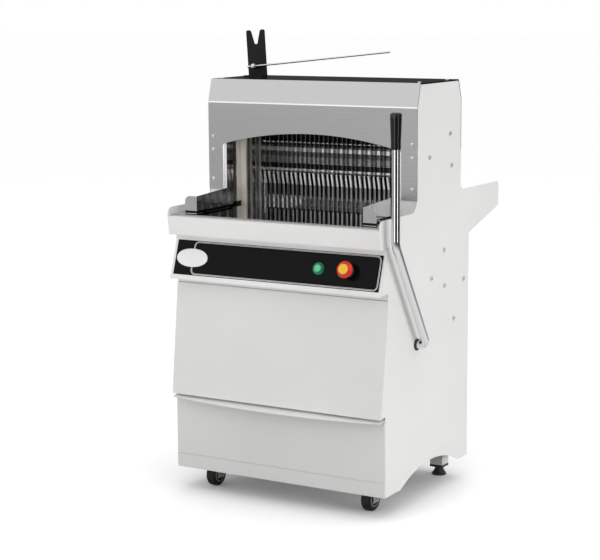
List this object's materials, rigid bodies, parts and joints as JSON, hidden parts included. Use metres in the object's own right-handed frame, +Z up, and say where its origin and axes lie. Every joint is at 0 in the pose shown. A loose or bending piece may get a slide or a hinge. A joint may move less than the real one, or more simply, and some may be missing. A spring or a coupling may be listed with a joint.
{
  "type": "bread slicer",
  "caption": "Floor-standing lever bread slicer: loaf pushed by a comb through two reciprocating blade frames onto a polished table.",
  "frame": {"origin": "on the floor, in the middle of the machine's bounding box", "axes": "+X to the right as seen from the front, where the lever is; +Y to its back, where the loaf is loaded; +Z up"},
  "size_m": [0.6236, 0.6631, 1.1234],
  "materials": {
    "white_coat": "fine powder coat",
    "black_gloss": "glossy",
    "black_coat": "satin black coat",
    "badge_white": "glossy",
    "mirror_steel": "mirror polished stainless",
    "satin_steel": "satin stainless",
    "bright_steel": "chromed",
    "machined_steel": "machined",
    "blade_steel": "ground",
    "nylon": "matt",
    "motor_paint": "enamel",
    "belt_rubber": "matt",
    "black_plastic": "matt",
    "green_plastic": "glossy",
    "red_plastic": "glossy",
    "yellow_plastic": "glossy",
    "wheel_tread": "matt"
  },
  "bodies": {
    "cabinet": {"left_side_panel": "white_coat", "right_side_panel": "white_coat", "base_frame": "white_coat", "front_skirt": "white_coat", "front_cover": "white_coat", "fascia_housing": "white_coat", "fascia_plate": "black_gloss", "badge_plate": "badge_white", "front_tray": "white_coat", "front_table": "mirror_steel", "rear_table": "mirror_steel", "rear_tray_pan": "white_coat", "rear_cover": "white_coat", "cable_gland": "black_plastic", "hood_front": "satin_steel", "hood_rear": "black_coat", "top_lid": "black_gloss", "bright_screws": "bright_steel", "panel_bolts": "white_coat", "chamber_walls": "mirror_steel", "guide_rails": "nylon", "guide_columns": "satin_steel", "pusher_rails": "bright_steel", "drive_deck": "satin_steel", "motor_body": "motor_paint", "crank_bearings": "motor_paint", "v_belt": "belt_rubber", "start_body": "satin_steel", "stop_body": "yellow_plastic", "control_box": "motor_paint", "lever_bushes": "black_plastic", "drawer_runners": "satin_steel", "castor_forks": "satin_steel", "leg_plugs": "black_plastic", "bag_post": "black_coat"},
    "lever": {"lever_tube": "bright_steel", "lever_grip": "black_gloss", "lever_shaft": "machined_steel"},
    "pusher": {"pusher_carriage": "machined_steel", "pusher_plate": "satin_steel", "pusher_comb": "satin_steel"},
    "front_blade_frame": {"front_frame": "machined_steel", "front_blades": "blade_steel"},
    "rear_blade_frame": {"rear_frame": "machined_steel", "rear_blades": "blade_steel"},
    "crank": {"eccentric_shaft": "machined_steel", "crank_pulley": "machined_steel"},
    "front_rod_pair": {"front_rods": "machined_steel"},
    "rear_rod_pair": {"rear_rods": "machined_steel"},
    "motor_rotor": {"motor_pulley": "machined_steel"},
    "start_button": {"start_cap": "green_plastic"},
    "stop_button": {"stop_head": "red_plastic"},
    "drawer": {"crumb_drawer": "white_coat"},
    "left_castor_wheel": {"wheel_left": "wheel_tread"},
    "right_castor_wheel": {"wheel_right": "wheel_tread"},
    "left_foot": {"foot_left": "black_plastic"},
    "right_foot": {"foot_right": "black_plastic"},
    "left_fence": {"fence_left": "mirror_steel"},
    "right_fence": {"fence_right": "mirror_steel"},
    "bag_arm": {"bag_rod": "bright_steel"}
  },
  "joints": [
    {"name": "lever_swing", "type": "hinge", "parent": "cabinet", "child": "lever", "pos_m": [-0.0183, -0.13124, 0.391], "axis": [-1, 0, 0], "range_deg": [0, 45.53]},
    {"name": "pusher_slide", "type": "slide", "parent": "cabinet", "child": "pusher", "axis": [0, 1, 0], "range_m": [0, 0.19]},
    {"name": "front_frame_slide", "type": "slide", "parent": "cabinet", "child": "front_blade_frame", "axis": [0, 0, 1], "range_m": [-0.012, 0.012]},
    {"name": "rear_frame_slide", "type": "slide", "parent": "cabinet", "child": "rear_blade_frame", "axis": [0, 0, 1], "range_m": [-0.012, 0.012]},
    {"name": "crank_spin", "type": "hinge", "parent": "cabinet", "child": "crank", "pos_m": [-0.0183, -0.01044, 0.33], "axis": [1, 0, 0], "continuous": true},
    {"name": "front_rod_pivot", "type": "hinge", "parent": "crank", "child": "front_rod_pair", "pos_m": [-0.0183, -0.02244, 0.33], "axis": [1, 0, 0], "continuous": true},
    {"name": "rear_rod_pivot", "type": "hinge", "parent": "crank", "child": "rear_rod_pair", "pos_m": [-0.0183, 0.00156, 0.33], "axis": [1, 0, 0], "continuous": true},
    {"name": "motor_spin", "type": "hinge", "parent": "cabinet", "child": "motor_rotor", "pos_m": [-0.0183, -0.19244, 0.318], "axis": [1, 0, 0], "continuous": true},
    {"name": "start_press", "type": "slide", "parent": "cabinet", "child": "start_button", "axis": [0, 0.949, -0.3152], "range_m": [0, 0.004], "stiffness_N_per_m": 900, "springref_m": -0.001},
    {"name": "stop_press", "type": "slide", "parent": "cabinet", "child": "stop_button", "axis": [0, 0.949, -0.3152], "range_m": [0, 0.005]},
    {"name": "drawer_slide", "type": "slide", "parent": "cabinet", "child": "drawer", "axis": [0, -1, 0], "range_m": [0, 0.3]},
    {"name": "left_castor_roll", "type": "hinge", "parent": "cabinet", "child": "left_castor_wheel", "pos_m": [-0.2373, -0.22844, 0.03], "axis": [1, 0, 0], "continuous": true},
    {"name": "right_castor_roll", "type": "hinge", "parent": "cabinet", "child": "right_castor_wheel", "pos_m": [0.2007, -0.22844, 0.03], "axis": [1, 0, 0], "continuous": true},
    {"name": "left_foot_turn", "type": "hinge", "parent": "cabinet", "child": "left_foot", "pos_m": [-0.2423, 0.13056, 0.01], "axis": [0, 0, 1], "continuous": true},
    {"name": "right_foot_turn", "type": "hinge", "parent": "cabinet", "child": "right_foot", "pos_m": [0.2057, 0.13056, 0.01], "axis": [0, 0, 1], "continuous": true},
    {"name": "left_fence_slide", "type": "slide", "parent": "cabinet", "child": "left_fence", "axis": [1, 0, 0], "range_m": [0, 0.03]},
    {"name": "right_fence_slide", "type": "slide", "parent": "cabinet", "child": "right_fence", "axis": [-1, 0, 0], "range_m": [0, 0.03]},
    {"name": "bag_rod_swing", "type": "hinge", "parent": "cabinet", "child": "bag_arm", "pos_m": [-0.2643, 0.01656, 1.031], "axis": [0, -1, 0], "range_deg": [-6, 75]}
  ],
  "couplings": [
    {"joint": "pusher_slide", "follows": "lever_swing", "m_per_rad": 0.2391},
    {"joint": "rear_frame_slide", "follows": "front_frame_slide", "ratio": -1},
    {"joint": "front_rod_pivot", "follows": "crank_spin", "ratio": -1},
    {"joint": "rear_rod_pivot", "follows": "crank_spin", "ratio": -1},
    {"joint": "motor_spin", "follows": "crank_spin", "ratio": 2.3605}
  ]
}
